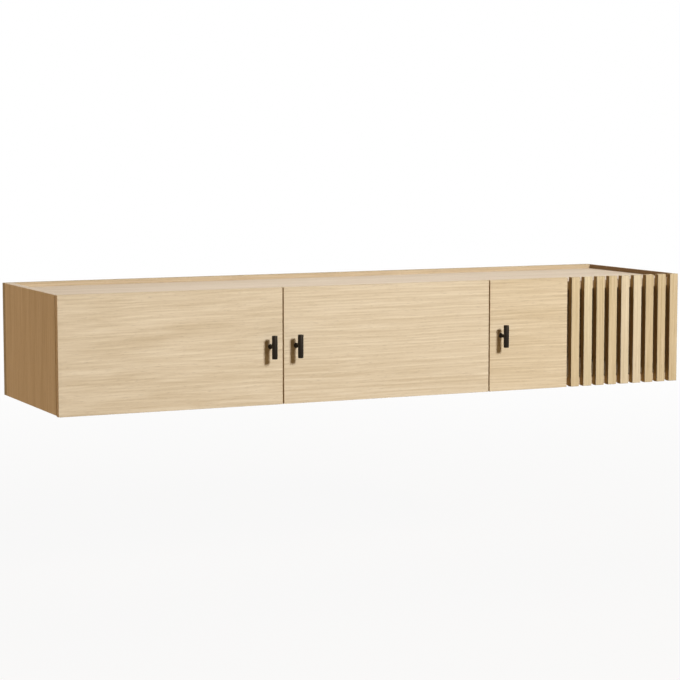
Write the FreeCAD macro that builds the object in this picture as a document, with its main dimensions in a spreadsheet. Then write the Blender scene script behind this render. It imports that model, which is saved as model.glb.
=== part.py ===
"""Floating media console: a wall-hung oak cabinet with three doors and a slatted end.

Frame: the origin is the centre of the back face, which lies on the wall. +X runs to
the right along the wall, -Y comes out of the wall to the front, +Z is up.
All lengths are in millimetres.
"""
import FreeCAD
import Part
import Sketcher
import os
import re

doc = FreeCAD.newDocument("floating_media_console")
sheet = doc.addObject("Spreadsheet::Sheet", "Dims")

# Driving dimensions, one cell each
SIZES = {
    # Cabinet
    "width": 1500,
    "depth": 400,
    "height": 250,
    "board": 18,
    "back_board": 18,
    "tray_depth": 10,
    "right_rim": 4,
    "door_reveal": 1.5,
    # Doors
    "door_thickness": 16,
    "door_gap": 2,
    "leaf_gap": 3,
    "narrow_width": 200,
    "hinge_round": 2,
    "stile_depth": 80,
    "stile_dowel_inset": 20,
    # Slatted grille
    "slat_width": 22,
    "slat_depth": 13,
    "slat_easing": 0.6,
    # Handles
    "bar_diameter": 12,
    "bar_length": 50,
    "bar_easing": 0.8,
    "handle_reach": 30,
    "handle_inset": 28.5,
    "post_diameter": 8,
    "post_foot_diameter": 11,
    "post_foot_height": 2.5,
    "handle_screw_diameter": 4,
    "handle_screw_grip": 9,
    "handle_screw_head_diameter": 8,
    "handle_screw_head_height": 2.4,
    # Hinges
    "hinge_margin": 37,
    "cup_diameter": 35,
    "cup_depth": 13,
    "cup_wall": 0.8,
    "cup_edge": 3,
    "flange_thickness": 0.8,
    "flange_length": 62,
    "flange_corner": 6,
    "cup_screw_spacing": 48,
    "cup_screw_shift": 9.5,
    "pin_margin": 1.1,
    "pin_diameter": 2.4,
    "knuckle_diameter": 4.2,
    "knuckle_clearance": 0.3,
    "arm_width": 10,
    "arm_thickness": 2,
    "arm_clearance": 13.2,
    "arm_seat": 0.2,
    "arm_bend": 1.5,
    "arm_overlap": 17,
    "plate_length": 46,
    "plate_width": 14,
    "wing_width": 14,
    "wing_length": 48,
    "wing_height": 2,
    "wing_screw_spacing": 32,
    "wing_setback": 37,
    # Wood screws of the hinges
    "screw_diameter": 3.5,
    "screw_length": 9,
    "screw_head_diameter": 7,
    "screw_head_height": 1.6,
    # Knock-down fittings of the cabinet
    "dowel_diameter": 8,
    "dowel_length": 30,
    "dowel_in_side": 11,
    "dowel_inset": 50,
    "cam_pitch": 32,
    "cam_diameter": 15,
    "cam_height": 12.5,
    "cam_distance": 24,
    "bolt_diameter": 6,
    "bolt_in_side": 11,
    "bolt_head_diameter": 7.4,
    "bolt_head_length": 4,
    # Back panel
    "wall_hole_diameter": 8,
    "wall_hole_inset": 350,
    "wall_hole_spacing_z": 120,
    "grommet_diameter": 60,
    "grommet_wall": 3,
    "grommet_rim": 4,
    "grommet_rim_height": 2,
    "grommet_drop": 50,
    # Door bumpers
    "bumper_diameter": 9,
    "bumper_inset": 30,
    "bumper_clearance": 0.3,
    # Clearances
    "running_fit": 0.05,
    "seat_fit": 0.1,
    "overrun": 1,
}
# The front has equal bays, and the slats stand in the last one
BAY_COUNT = 3
SLAT_COUNT = 9

for row, (alias, size) in enumerate(SIZES.items(), start=1):
    sheet.set("A%d" % row, alias)
    sheet.set("B%d" % row, str(size))
    sheet.setAlias("B%d" % row, alias)
doc.recompute()

# Places and sizes that follow from the driving dimensions
FOLLOWS = {
    "half_width": "width / 2",
    "half_height": "height / 2",
    "carcass_height": "height - door_reveal",
    "carcass_top": "half_height",
    "carcass_bottom": "door_reveal - half_height",
    "carcass_front": "door_thickness + door_gap - depth",
    "carcass_depth": "-carcass_front - back_board",
    "inner_width": "width - 2 * board",
    "top_upper": "carcass_top - tray_depth",
    "top_lower": "top_upper - board",
    "bottom_upper": "carcass_bottom + board",
    "inner_height": "top_lower - bottom_upper",
    "door_width": "(width - %d * leaf_gap) / %d" % (BAY_COUNT - 1, BAY_COUNT),
    "door_pitch": "door_width + leaf_gap",
    "narrow_left": "door_width / 2 + leaf_gap",
    "narrow_right": "narrow_left + narrow_width",
    "slat_pitch": "(half_width - narrow_right) / %d" % SLAT_COUNT,
    "grille_left": "narrow_right + slat_pitch - slat_width",
    "rail_depth": "door_thickness + door_gap - slat_depth",
    "handle_bar_setback": "handle_reach - bar_diameter / 2",
    "hinge_inset": "tray_depth + board + hinge_margin",
    "hinge_spread": "height - 2 * hinge_inset",
    "cup_centre": "cup_edge + cup_diameter / 2",
    "pin_edge": "cup_edge + cup_wall + knuckle_diameter / 2 + pin_margin",
    "pin_setback": "door_thickness - cup_depth + cup_wall + knuckle_diameter / 2 + knuckle_clearance",
    "pin_chord": "sqrt((cup_diameter / 2)^2 - (cup_centre - pin_edge + pin_diameter / 2)^2)",
    "arm_inner": "max(pin_edge + arm_clearance; board + wing_height + arm_seat)",
    "wing_centre": "door_thickness + door_gap + wing_setback",
    "screw_hole": "screw_diameter + 2 * seat_fit",
    "dowel_hole": "dowel_diameter + 2 * seat_fit",
    "dowel_in_panel": "dowel_length - dowel_in_side",
    "bolt_hole": "bolt_diameter + 2 * seat_fit",
    "bolt_way": "bolt_head_diameter + 2 * seat_fit",
    "front_dowel": "carcass_front + dowel_inset",
    "rear_dowel": "-back_board - dowel_inset",
    "dowel_run": "rear_dowel - front_dowel",
    "cam_run": "dowel_run - 2 * cam_pitch",
    "stile_dowel": "carcass_front + stile_depth - stile_dowel_inset",
    "bottom_level": "carcass_bottom + board / 2",
    "top_level": "top_lower + board / 2",
    "level_run": "top_level - bottom_level",
    "wall_hole_spacing_x": "width - 2 * wall_hole_inset",
}


def spell(words):
    """Write a size in words as an expression on the sheet's cells."""
    def swap(match):
        word = match.group(0)
        if word in SIZES:
            return "Dims." + word
        if word in FOLLOWS:
            return "(" + spell(FOLLOWS[word]) + ")"
        return word
    return re.sub(r"[a-z_]+", swap, words)


def bind(thing, **sizes):
    """Bind properties to sizes given in words; a double underscore stands for a dot."""
    for name, words in sizes.items():
        thing.setExpression(name.replace("__", "."), spell(words))


# Turns that point a piece's own upright axis up, down, left, right or to the front
UPRIGHT = FreeCAD.Rotation()
DOWNWARD = FreeCAD.Rotation(FreeCAD.Vector(1, 0, 0), 180)
LEFTWARD = FreeCAD.Rotation(FreeCAD.Vector(0, 1, 0), -90)
RIGHTWARD = FreeCAD.Rotation(FreeCAD.Vector(0, 1, 0), 90)
FORWARD = FreeCAD.Rotation(FreeCAD.Vector(1, 0, 0), 90)

# Half a turn about the depth axis makes a right-hand hinge of a left-hand one
TURNED_OVER = FreeCAD.Rotation(FreeCAD.Vector(0, 1, 0), 180)

nodes = []


def place(thing, x="0", y="0", z="0", turn=UPRIGHT):
    """Put a piece at a place given in words, turned about its own origin."""
    thing.Placement = FreeCAD.Placement(FreeCAD.Vector(), turn)
    bind(thing, Placement__Base__x=x, Placement__Base__y=y, Placement__Base__z=z)


def node(thing, label):
    """Keep a piece as a sub-part of the console under its own name."""
    thing.Label = label
    nodes.append(thing)
    return thing


# Boards: a box, drilled where fittings go in


def box(name, size, corner):
    board = doc.addObject("Part::Box", name)
    bind(board, Length=size[0], Width=size[1], Height=size[2])
    place(board, *corner)
    return board


def drill(diameter, depth, x, y, z, turn):
    """One round hole, drilled from a point along the turned upright axis."""
    hole = doc.addObject("Part::Cylinder", "drill")
    bind(hole, Radius="(%s) / 2" % diameter, Height=depth)
    place(hole, x, y, z, turn)
    return hole


def drilled(label, blank, holes):
    """A board with all its holes cut at once."""
    tools = doc.addObject("Part::Compound", label + "_holes")
    tools.Links = holes
    cut = doc.addObject("Part::Cut", label)
    cut.Base = blank
    cut.Tool = tools
    return node(cut, label)


# Parametric solids: sketches on the planes of their own body


def new_body(name):
    return doc.addObject("PartDesign::Body", name)


def origin_feature(body, role):
    return [feature for feature in body.Origin.OriginFeatures if feature.Role == role][0]


def new_sketch(body, plane, x, y, out):
    """An empty sketch on an origin plane, its own origin moved by sizes in words."""
    sketch = body.newObject("Sketcher::SketchObject", "sketch")
    sketch.AttachmentSupport = [(origin_feature(body, plane), "")]
    sketch.MapMode = "FlatFace"
    bind(sketch, AttachmentOffset__Base__x=x, AttachmentOffset__Base__y=y, AttachmentOffset__Base__z=out)
    return sketch


def measure(sketch, constraint, words):
    """Add a dimension to a sketch and bind it to a size in words."""
    index = sketch.addConstraint(constraint)
    sketch.setExpression("Constraints[%d]" % index, spell(words))


def value(words):
    """The number that a size in words has now."""
    return float(sheet.evalExpression(spell(words)))


def outline(sketch, points):
    """A closed outline of straight lines through points given in words."""
    spots = [FreeCAD.Vector(value(x), value(y), 0) for x, y in points]
    lines = []
    for start, end in zip(spots, spots[1:] + spots[:1]):
        lines.append(sketch.addGeometry(Part.LineSegment(start, end), False))
    for line, follower in zip(lines, lines[1:] + lines[:1]):
        sketch.addConstraint(Sketcher.Constraint("Coincident", line, 2, follower, 1))
    for line, (x, y) in zip(lines, points):
        for kind, words in (("DistanceX", x), ("DistanceY", y)):
            constraint = Sketcher.Constraint(kind, -1, 1, line, 1, value(words))
            measure(sketch, constraint, words)
    return sketch


def rectangle(body, plane, wide, tall, x="0", y="0", out="0"):
    """A rectangle centred on its sketch's own origin."""
    sketch = new_sketch(body, plane, x, y, out)
    right = "(%s) / 2" % wide
    upper = "(%s) / 2" % tall
    left = "-" + right
    lower = "-" + upper
    return outline(sketch, [(left, lower), (right, lower), (right, upper), (left, upper)])


def disc(body, plane, diameter, x="0", y="0", out="0"):
    """A circle centred on its sketch's own origin."""
    sketch = new_sketch(body, plane, x, y, out)
    circle = Part.Circle(FreeCAD.Vector(), FreeCAD.Vector(0, 0, 1), value(diameter) / 2)
    ring = sketch.addGeometry(circle, False)
    sketch.addConstraint(Sketcher.Constraint("Coincident", ring, 3, -1, 1))
    measure(sketch, Sketcher.Constraint("Diameter", ring, value(diameter)), diameter)
    return sketch


def extrude(body, kind, sketch, length, reverse=False, both_ways=False):
    """A Pad or a Pocket of a sketch; a Pocket has to take something away."""
    before = body.Shape.Volume if kind == "Pocket" else 0
    feature = body.newObject("PartDesign::" + kind, kind.lower())
    feature.Profile = sketch
    feature.Reversed = reverse
    feature.Midplane = both_ways
    bind(feature, Length=length)
    doc.recompute()
    if kind == "Pocket" and body.Shape.Volume >= before:
        raise ValueError("a pocket of %s cuts nothing" % body.Name)
    return feature


def soften(body, kind, feature, edges, size_name, words):
    """A Fillet or a Chamfer on some edges of the last feature."""
    softened = body.newObject("PartDesign::" + kind, kind.lower())
    softened.Base = (feature, edges)
    bind(softened, **{size_name: words})
    doc.recompute()
    return softened


def edges_through(feature, *places):
    """The names of the edges whose middles lie at places given in words."""
    spots = [FreeCAD.Vector(*[value(words) for words in spot]) for spot in places]
    found = []
    for number, edge in enumerate(feature.Shape.Edges, start=1):
        if any(edge.CenterOfMass.isEqual(spot, value("seat_fit") / 2) for spot in spots):
            found.append("Edge%d" % number)
    return found


def turn_round(body, plane, points, axis):
    """A solid of revolution of an outline about one of its sketch's own axes."""
    sketch = outline(new_sketch(body, plane, "0", "0", "0"), points)
    feature = body.newObject("PartDesign::Revolution", "revolution")
    feature.Profile = sketch
    feature.ReferenceAxis = (sketch, [axis])
    feature.Angle = 360
    doc.recompute()
    return feature


def repeat(body, axis, length, count, axis_again=None, length_again=None):
    """Copies of the whole solid, evenly spread over a length along one or two axes."""
    pattern = body.newObject("PartDesign::LinearPattern", "pattern")
    pattern.TransformMode = "Whole shape"
    pattern.Direction = (origin_feature(body, axis), [""])
    pattern.Occurrences = count
    bind(pattern, Length=length)
    if axis_again:
        pattern.Direction2 = (origin_feature(body, axis_again), [""])
        pattern.Occurrences2 = 2
        bind(pattern, Length2=length_again)
    body.Tip = pattern
    doc.recompute()
    return pattern


# Cabinet fittings: dowels, cam bolts and cam locks, and the holes that they sit in


def end_holes(level, cam_face, cam_turn, end):
    """Holes at one end of a flat panel: in the panel, and in the side that it meets."""
    face = "%s * inner_width / 2" % end
    inward = RIGHTWARD if end == "-1" else LEFTWARD
    outward = LEFTWARD if end == "-1" else RIGHTWARD
    cam_x = "%s * (inner_width / 2 - cam_distance)" % end
    cam_bore = "cam_diameter + 2 * seat_fit"
    in_panel = []
    in_side = []
    for y in ("front_dowel", "rear_dowel"):
        in_panel.append(drill("dowel_hole", "dowel_in_panel + seat_fit", face, y, level, inward))
        in_side.append(drill("dowel_hole", "dowel_in_side + seat_fit", face, y, level, outward))
    for y in ("front_dowel + cam_pitch", "rear_dowel - cam_pitch"):
        in_panel.append(drill("bolt_way", "cam_distance", face, y, level, inward))
        in_panel.append(drill(cam_bore, "cam_height + seat_fit", cam_x, y, cam_face, cam_turn))
        in_side.append(drill("bolt_hole", "bolt_in_side + seat_fit", face, y, level, outward))
    return in_panel, in_side


def upright_holes(x, rows):
    """Dowel holes at the ends of an upright: in the bottom, in the upright, in the top."""
    in_bottom = []
    in_upright = []
    in_top = []
    for y in rows:
        in_bottom.append(drill("dowel_hole", "dowel_in_side + seat_fit", x, y, "bottom_upper", DOWNWARD))
        in_upright.append(drill("dowel_hole", "dowel_in_panel + seat_fit", x, y, "bottom_upper", UPRIGHT))
        in_upright.append(drill("dowel_hole", "dowel_in_panel + seat_fit", x, y, "top_lower", DOWNWARD))
        in_top.append(drill("dowel_hole", "dowel_in_side + seat_fit", x, y, "top_lower", UPRIGHT))
    return in_bottom, in_upright, in_top


def round_bar(name, turn_axis, diameter, length, x, y, z):
    """A plain round bar along X or Z, as a body that can be repeated."""
    body = new_body(name)
    plane = "YZ_Plane" if turn_axis == "X_Axis" else "XY_Plane"
    extrude(body, "Pad", disc(body, plane, diameter), length)
    place(body, x, y, z)
    return body


def panel_dowels():
    """All the dowels: across into the sides, and upright in the partitions and the stile."""
    groups = []
    for level in ("bottom_level", "top_level"):
        level_row = round_bar("dowel", "X_Axis", "dowel_diameter", "dowel_length",
                              "-inner_width / 2 - dowel_in_side", "front_dowel", level)
        end_run = "inner_width + 2 * dowel_in_side - dowel_length"
        repeat(level_row, "X_Axis", end_run, 2, "Y_Axis", "dowel_run")
        groups.append(level_row)
    for lower_end in ("bottom_upper - dowel_in_side", "top_lower - dowel_in_panel"):
        upright = round_bar("dowel", "Z_Axis", "dowel_diameter", "dowel_length",
                            "-door_pitch / 2", "front_dowel", lower_end)
        repeat(upright, "X_Axis", "door_pitch", 2, "Y_Axis", "dowel_run")
        groups.append(upright)
    stile = round_bar("dowel", "Z_Axis", "dowel_diameter", "dowel_length",
                      "narrow_right - board / 2", "stile_dowel", "bottom_upper - dowel_in_side")
    repeat(stile, "Z_Axis", "inner_height + 2 * dowel_in_side - dowel_length", 2)
    groups.append(stile)
    return groups


def cam_bolts():
    """Cam bolts: screwed into the sides, their heads held by the cam locks."""
    groups = []
    ends = (("-1", UPRIGHT, "bottom_level"), ("1", TURNED_OVER, "top_level"))
    for end, turn, level in ends:
        body = new_body("cam_bolt")
        head_start = "cam_distance - bolt_head_length"
        turn_round(body, "XY_Plane", [
            ("-bolt_in_side", "0"),
            ("cam_distance", "0"),
            ("cam_distance", "bolt_head_diameter / 2"),
            (head_start, "bolt_head_diameter / 2"),
            (head_start, "bolt_diameter / 2"),
            ("-bolt_in_side", "bolt_diameter / 2"),
        ], "H_Axis")
        place(body, "%s * inner_width / 2" % end, "front_dowel + cam_pitch", level, turn)
        repeat(body, "Z_Axis", "level_run", 2, "Y_Axis", "cam_run")
        groups.append(body)
    return groups


def cam_locks():
    """Cam locks: discs let into the panels from inside, with a way for the bolt's head."""
    groups = []
    for lower_face, level in (("bottom_upper - cam_height", "bottom_level"), ("top_lower", "top_level")):
        body = new_body("cam_lock")
        extrude(body, "Pad", disc(body, "XY_Plane", "cam_diameter"), "cam_height")
        way = disc(body, "YZ_Plane", "bolt_way", y="%s - (%s)" % (level, lower_face))
        extrude(body, "Pocket", way, "cam_diameter + overrun", both_ways=True)
        place(body, "cam_distance - inner_width / 2", "front_dowel + cam_pitch", lower_face)
        repeat(body, "X_Axis", "inner_width - 2 * cam_distance", 2, "Y_Axis", "cam_run")
        groups.append(body)
    return groups


def group(label, bodies):
    """Like pieces kept together in one node as separate solids."""
    together = doc.addObject("Part::Compound", label)
    together.Links = bodies
    return node(together, label)


# Doors: where each leaf hangs, how wide it is and what carries its hinges

DOORS = {
    "left": {"edge": "-half_width", "toward": "1", "leaf": "door_width", "overlay": "board"},
    "middle": {"edge": "door_width / 2", "toward": "-1", "leaf": "door_width",
               "overlay": "(board - leaf_gap) / 2"},
    "right": {"edge": "narrow_right", "toward": "-1", "leaf": "narrow_width", "overlay": "board"},
}


def across(door, distance):
    """A place at a distance from the hinge edge of a door, along the width of the cabinet."""
    return "%s + %s * (%s)" % (door["edge"], door["toward"], distance)


def hang(body, door, z="0"):
    """Seat a hinge piece or a leaf, which is drawn from the hinge edge and the front face."""
    turned = door["toward"] == "-1"
    place(body, door["edge"], "-depth", "%s * (%s)" % (door["toward"], z), TURNED_OVER if turned else UPRIGHT)


def hinge_pair(body, door):
    """Hang a hinge piece at the lower hinge and repeat it at the upper one."""
    repeat(body, "Z_Axis", "hinge_spread", 2)
    hang(body, door, "-hinge_spread / 2")


def plate_holes(door):
    """Pilot holes for the screws of both mounting plates, in the upright that carries them."""
    into = LEFTWARD if door["toward"] == "1" else RIGHTWARD
    face = across(door, door["overlay"])
    deep = "screw_length - wing_height + seat_fit"
    holes = []
    for hinge in ("-1", "1"):
        for screw in ("-1", "1"):
            z = "%s * hinge_spread / 2 + %s * wing_screw_spacing / 2" % (hinge, screw)
            holes.append(drill("screw_hole", deep, face, "wing_centre - depth", z, into))
    return holes


# Cabinet: sides, bottom, sunken top, partitions, hinge stile and back


def cabinet():
    side_size = ("board", "carcass_depth", "carcass_height")
    flat_size = ("inner_width", "carcass_depth", "board")
    upright_size = ("board", "carcass_depth", "inner_height")
    in_side = {"-1": [], "1": []}
    in_flat = {"bottom": [], "top": []}
    flats = (("bottom", "bottom_level", "bottom_upper", DOWNWARD), ("top", "top_level", "top_lower", UPRIGHT))
    for name, level, cam_face, cam_turn in flats:
        for end in ("-1", "1"):
            panel_holes, side_holes = end_holes(level, cam_face, cam_turn, end)
            in_flat[name] += panel_holes
            in_side[end] += side_holes
    uprights = {}
    rows = ("front_dowel", "rear_dowel")
    centres = (("left_partition", "-door_pitch / 2", rows), ("right_partition", "door_pitch / 2", rows),
               ("hinge_stile", "narrow_right - board / 2", ("stile_dowel",)))
    for name, x, dowel_rows in centres:
        low, uprights[name], high = upright_holes(x, dowel_rows)
        in_flat["bottom"] += low
        in_flat["top"] += high
    in_side["-1"] += plate_holes(DOORS["left"])
    uprights["right_partition"] += plate_holes(DOORS["middle"])
    uprights["hinge_stile"] += plate_holes(DOORS["right"])
    # The right side is cut down to the tray, but for a thin rim along its outer face
    ledge_size = ("board - right_rim + overrun", "carcass_depth + 2 * overrun", "tray_depth + overrun")
    ledge_corner = ("inner_width / 2 - overrun", "carcass_front - overrun", "top_upper")
    in_side["1"].append(box("ledge", ledge_size, ledge_corner))

    for name, end, x in (("left", "-1", "-half_width"), ("right", "1", "half_width - board")):
        corner = (x, "carcass_front", "carcass_bottom")
        drilled(name + "_side_panel", box("side", side_size, corner), in_side[end])
    for name, z in (("bottom", "carcass_bottom"), ("top", "top_lower")):
        corner = ("-inner_width / 2", "carcass_front", z)
        drilled(name + "_panel", box("flat", flat_size, corner), in_flat[name])
    for name, sign in (("left_partition", "-1"), ("right_partition", "1")):
        corner = ("%s * door_pitch / 2 - board / 2" % sign, "carcass_front", "bottom_upper")
        drilled(name, box("upright", upright_size, corner), uprights[name])
    stile_size = ("board", "stile_depth", "inner_height")
    stile_corner = ("narrow_right - board", "carcass_front", "bottom_upper")
    drilled("hinge_stile", box("upright", stile_size, stile_corner), uprights["hinge_stile"])


def back_panel():
    """The back covers the rear edges of the sides, and carries the console on the wall."""
    size = ("width", "back_board", "carcass_height")
    blank = box("back", size, ("-half_width", "-back_board", "carcass_bottom"))
    through = "back_board + 2 * overrun"
    outlet = "grommet_diameter + 2 * seat_fit"
    holes = []
    for x_sign in ("-1", "1"):
        for z_sign in ("-1", "1"):
            x = "%s * wall_hole_spacing_x / 2" % x_sign
            z = "%s * wall_hole_spacing_z / 2" % z_sign
            holes.append(drill("wall_hole_diameter", through, x, "overrun", z, FORWARD))
    for bay in range(BAY_COUNT):
        x = "%d * door_pitch - %d * door_pitch / 2" % (bay, BAY_COUNT - 1)
        holes.append(drill(outlet, through, x, "overrun", "-grommet_drop", FORWARD))
    drilled("back_panel", blank, holes)


def cable_grommets():
    """Plastic rings that line the cable outlets, their rims inside the cabinet."""
    body = new_body("grommets")
    inner = "grommet_diameter / 2 - grommet_wall"
    outer = "grommet_diameter / 2"
    rim = "grommet_diameter / 2 + grommet_rim"
    rim_face = "-back_board - grommet_rim_height"
    turn_round(body, "XY_Plane", [
        (inner, "0"),
        (outer, "0"),
        (outer, "-back_board"),
        (rim, "-back_board"),
        (rim, rim_face),
        (inner, rim_face),
    ], "V_Axis")
    run = "%d * door_pitch" % (BAY_COUNT - 1)
    place(body, "-(%s) / 2" % run, "0", "-grommet_drop")
    repeat(body, "X_Axis", run, BAY_COUNT)
    node(body, "cable_grommets")


# Slatted grille: upright slats on two rails, fixed to the front of the cabinet


def grille():
    rail_size = ("half_width - grille_left", "rail_depth", "board")
    for label, z in (("grille_bottom_rail", "carcass_bottom"), ("grille_top_rail", "top_lower")):
        node(box("rail", rail_size, ("grille_left", "slat_depth - depth", z)), label)
    for number in range(1, SLAT_COUNT + 1):
        body = new_body("slat")
        section = rectangle(body, "XY_Plane", "slat_width", "slat_depth", y="slat_depth / 2")
        blank = extrude(body, "Pad", section, "height")
        corners = [(x, "0", "half_height") for x in ("-slat_width / 2", "slat_width / 2")]
        soften(body, "Chamfer", blank, edges_through(blank, *corners), "Size", "slat_easing")
        place(body, "narrow_right + %d * slat_pitch - slat_width / 2" % number, "-depth", "-half_height")
        node(body, "slat_%d" % number)


# Doors


def door_panel(name, door):
    """A flat leaf, bored for both hinge cups and for the handle, rounded where it swings."""
    body = new_body("door")
    leaf = door["leaf"]
    blank = extrude(body, "Pad", rectangle(body, "XZ_Plane", leaf, "height", x="(%s) / 2" % leaf),
                    "door_thickness", reverse=True)
    soften(body, "Fillet", blank, edges_through(blank, ("0", "door_thickness", "0")), "Radius", "hinge_round")
    bores = [("cup_diameter + 2 * seat_fit", "cup_depth + seat_fit", "cup_centre", "0")]
    deep = "screw_length - flange_thickness + seat_fit"
    for screw in ("-1", "1"):
        z = "%s * cup_screw_spacing / 2" % screw
        bores.append(("screw_hole", deep, "cup_centre + cup_screw_shift", z))
    for hinge in ("-1", "1"):
        for diameter, depth, x, z in bores:
            level = "%s * hinge_spread / 2 + %s" % (hinge, z)
            bore = disc(body, "XZ_Plane", diameter, x, level, "-door_thickness")
            extrude(body, "Pocket", bore, depth, reverse=True)
    handle_hole = disc(body, "XZ_Plane", "handle_screw_diameter + 2 * seat_fit", "%s - handle_inset" % leaf,
                       "0", "-door_thickness")
    extrude(body, "Pocket", handle_hole, "door_thickness + overrun", reverse=True)
    hang(body, door)
    node(body, name + "_door_panel")


def handle(name, door):
    """A T-bar handle: an upright bar on a post, drawn tight by a screw from inside."""
    x = across(door, "%s - handle_inset" % door["leaf"])
    half = "bar_length / 2"
    radius = "bar_diameter / 2"
    bar = new_body("bar")
    turn_round(bar, "XZ_Plane", [
        ("0", "-" + half),
        (radius + " - bar_easing", "-" + half),
        (radius, "bar_easing - " + half),
        (radius, half + " - bar_easing"),
        (radius + " - bar_easing", half),
        ("0", half),
    ], "V_Axis")
    extrude(bar, "Pocket", disc(bar, "XZ_Plane", "post_diameter + 2 * seat_fit"), radius)
    place(bar, x, "-depth - handle_bar_setback")
    node(bar, name + "_handle_bar")

    bore = "handle_screw_diameter / 2 + seat_fit"
    post = new_body("post")
    turn_round(post, "XY_Plane", [
        (bore, "0"),
        ("post_foot_diameter / 2", "0"),
        ("post_diameter / 2", "-post_foot_height"),
        ("post_diameter / 2", "-handle_bar_setback"),
        ("0", "-handle_bar_setback"),
        ("0", "-handle_screw_grip - seat_fit"),
        (bore, "-handle_screw_grip - seat_fit"),
    ], "V_Axis")
    place(post, x, "-depth")
    node(post, name + "_handle_post")

    screw = new_body("screw")
    head_top = "door_thickness + handle_screw_head_height"
    turn_round(screw, "XY_Plane", [
        ("0", "-handle_screw_grip"),
        ("handle_screw_diameter / 2", "-handle_screw_grip"),
        ("handle_screw_diameter / 2", "door_thickness"),
        ("handle_screw_head_diameter / 2", "door_thickness"),
        ("handle_screw_head_diameter / 2", head_top),
        ("0", head_top),
    ], "V_Axis")
    place(screw, x, "-depth")
    node(screw, name + "_handle_screw")


def door_bumpers(name, door):
    """Soft pads behind the handle edge, just off the front edges of the bottom and the top."""
    body = new_body("bumpers")
    pad = disc(body, "XZ_Plane", "bumper_diameter")
    extrude(body, "Pad", pad, "door_gap - bumper_clearance", reverse=True)
    repeat(body, "Z_Axis", "level_run", 2)
    place(body, across(door, "%s - bumper_inset" % door["leaf"]), "door_thickness - depth", "bottom_level")
    node(body, name + "_door_bumpers")


# Hinges: a cup in the door turns on a pin about an arm that reaches out of the cabinet


def hinge_cups(name, door):
    body = new_body("cup")
    plate = rectangle(body, "XZ_Plane", "cup_diameter", "flange_length", "cup_centre", "0", "-door_thickness")
    flange = extrude(body, "Pad", plate, "flange_thickness", reverse=True)
    middle = "door_thickness + flange_thickness / 2"
    half = "flange_length / 2"
    far = "cup_edge + cup_diameter"
    corners = [(x, middle, z) for x in ("cup_edge", far) for z in ("-" + half, half)]
    soften(body, "Fillet", flange, edges_through(flange, *corners), "Radius", "flange_corner")
    shell = disc(body, "XZ_Plane", "cup_diameter", x="cup_centre", out="-door_thickness")
    extrude(body, "Pad", shell, "cup_depth")
    mouth = disc(body, "XZ_Plane", "cup_diameter - 2 * cup_wall", x="cup_centre",
                 out="-door_thickness - flange_thickness")
    extrude(body, "Pocket", mouth, "cup_depth + flange_thickness - cup_wall", reverse=True)
    pin_hole = disc(body, "XY_Plane", "pin_diameter + 2 * seat_fit", x="pin_edge", y="pin_setback")
    extrude(body, "Pocket", pin_hole, "cup_diameter", both_ways=True)
    for screw in ("-1", "1"):
        hole = disc(body, "XZ_Plane", "screw_hole", "cup_centre + cup_screw_shift",
                    "%s * cup_screw_spacing / 2" % screw, "-door_thickness - flange_thickness")
        extrude(body, "Pocket", hole, "flange_thickness + overrun", reverse=True)
    hinge_pair(body, door)
    node(body, name + "_hinge_cups")


def hinge_pins(name, door):
    body = new_body("pin")
    pin = disc(body, "XY_Plane", "pin_diameter", x="pin_edge", y="pin_setback")
    extrude(body, "Pad", pin, "2 * (pin_chord - seat_fit)", both_ways=True)
    hinge_pair(body, door)
    node(body, name + "_hinge_pins")


def hinge_arms(name, door):
    """A bent strip: it holds the pin deep in the cup, comes out of it and runs back to the plate."""
    body = new_body("arm")
    outer = "arm_inner + arm_thickness"
    fore = "pin_setback - arm_thickness / 2"
    aft = "pin_setback + arm_thickness / 2"
    end = "wing_centre + arm_overlap"
    strip = outline(new_sketch(body, "XY_Plane", "0", "0", "0"), [
        ("pin_edge", fore),
        (outer, fore),
        (outer, end),
        ("arm_inner", end),
        ("arm_inner", aft),
        ("pin_edge", aft),
    ])
    blank = extrude(body, "Pad", strip, "arm_width", both_ways=True)
    inner_bend = edges_through(blank, ("arm_inner", aft, "0"))
    bent = soften(body, "Fillet", blank, inner_bend, "Radius", "arm_bend")
    outer_bend = edges_through(bent, (outer, fore, "0"))
    soften(body, "Fillet", bent, outer_bend, "Radius", "arm_bend + arm_thickness")
    knuckle = disc(body, "XY_Plane", "knuckle_diameter", x="pin_edge", y="pin_setback")
    extrude(body, "Pad", knuckle, "arm_width", both_ways=True)
    bore = disc(body, "XY_Plane", "pin_diameter + 2 * running_fit", x="pin_edge", y="pin_setback")
    extrude(body, "Pocket", bore, "arm_width + 2 * overrun", both_ways=True)
    hinge_pair(body, door)
    node(body, name + "_hinge_arms")


def hinge_plates(name, door):
    """Mounting plates with a wing above and below for the screws; the arm lies on the middle."""
    body = new_body("plate")
    face = door["overlay"]
    middle = rectangle(body, "YZ_Plane", "plate_length", "plate_width", x="wing_centre", out=face)
    extrude(body, "Pad", middle, "arm_inner - (%s)" % face)
    wings = rectangle(body, "YZ_Plane", "wing_width", "wing_length", x="wing_centre", out=face)
    extrude(body, "Pad", wings, "wing_height")
    for screw in ("-1", "1"):
        hole = disc(body, "YZ_Plane", "screw_hole", "wing_centre", "%s * wing_screw_spacing / 2" % screw,
                    "%s + wing_height" % face)
        extrude(body, "Pocket", hole, "wing_height + overrun")
    hinge_pair(body, door)
    node(body, name + "_hinge_plates")


def screw_outline():
    """Half the section of a pan-head wood screw, along its axis from tip to head."""
    shank = "screw_diameter / 2"
    head = "screw_head_diameter / 2"
    return [("-screw_length", "0"), ("screw_head_height", "0"), ("screw_head_height", head), ("0", head),
            ("0", shank), ("-screw_length", shank)]


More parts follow.
